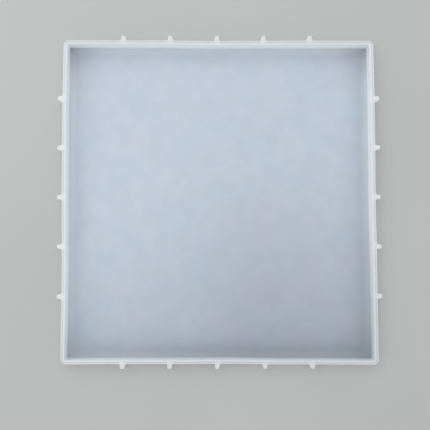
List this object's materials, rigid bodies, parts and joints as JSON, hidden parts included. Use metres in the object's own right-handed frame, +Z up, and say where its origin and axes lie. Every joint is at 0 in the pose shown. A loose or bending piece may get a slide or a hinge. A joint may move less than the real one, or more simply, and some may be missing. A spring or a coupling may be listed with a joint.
{
  "type": "resin casting mould",
  "caption": "Open square silicone tray for casting slabs of resin, with low walls, rounded corners and short outside stiffening ribs.",
  "frame": {"origin": "middle of the underside, on the table", "axes": "+X to the right wall, +Y to the back wall (the longer way), +Z up out of the open top"},
  "size_m": [0.3648, 0.3752, 0.018],
  "materials": {
    "floor_silicone": "milky translucent silicone, satin, faintly blue",
    "wall_silicone": "milky translucent silicone, satin, whiter where it is thick",
    "rib_silicone": "milky translucent silicone, satin, nearly white"
  },
  "bodies": {
    "base": {"floor_panel": "floor_silicone", "corner_front_left": "wall_silicone", "corner_front_right": "wall_silicone", "corner_back_left": "wall_silicone", "corner_back_right": "wall_silicone"},
    "wall_left": {"wall_left": "wall_silicone", "rib_left_1": "rib_silicone", "rib_left_2": "rib_silicone", "rib_left_3": "rib_silicone", "rib_left_4": "rib_silicone", "rib_left_5": "rib_silicone"},
    "wall_right": {"wall_right": "wall_silicone", "rib_right_1": "rib_silicone", "rib_right_2": "rib_silicone", "rib_right_3": "rib_silicone", "rib_right_4": "rib_silicone", "rib_right_5": "rib_silicone"},
    "wall_front": {"wall_front": "wall_silicone", "rib_front_1": "rib_silicone", "rib_front_2": "rib_silicone", "rib_front_3": "rib_silicone", "rib_front_4": "rib_silicone", "rib_front_5": "rib_silicone"},
    "wall_back": {"wall_back": "wall_silicone", "rib_back_1": "rib_silicone", "rib_back_2": "rib_silicone", "rib_back_3": "rib_silicone", "rib_back_4": "rib_silicone", "rib_back_5": "rib_silicone"}
  },
  "joints": [
    {"name": "peel_left", "type": "hinge", "parent": "base", "child": "wall_left", "pos_m": [-0.17475, 0, 0.00225], "axis": [0, -1, 0], "range_deg": [0, 30], "stiffness_Nm_per_rad": 0.2},
    {"name": "peel_right", "type": "hinge", "parent": "base", "child": "wall_right", "pos_m": [0.17475, 0, 0.00225], "axis": [0, 1, 0], "range_deg": [0, 30], "stiffness_Nm_per_rad": 0.2},
    {"name": "peel_front", "type": "hinge", "parent": "base", "child": "wall_front", "pos_m": [0, -0.18, 0.00225], "axis": [1, 0, 0], "range_deg": [0, 30], "stiffness_Nm_per_rad": 0.2},
    {"name": "peel_back", "type": "hinge", "parent": "base", "child": "wall_back", "pos_m": [0, 0.18, 0.00225], "axis": [-1, 0, 0], "range_deg": [0, 30], "stiffness_Nm_per_rad": 0.2}
  ]
}
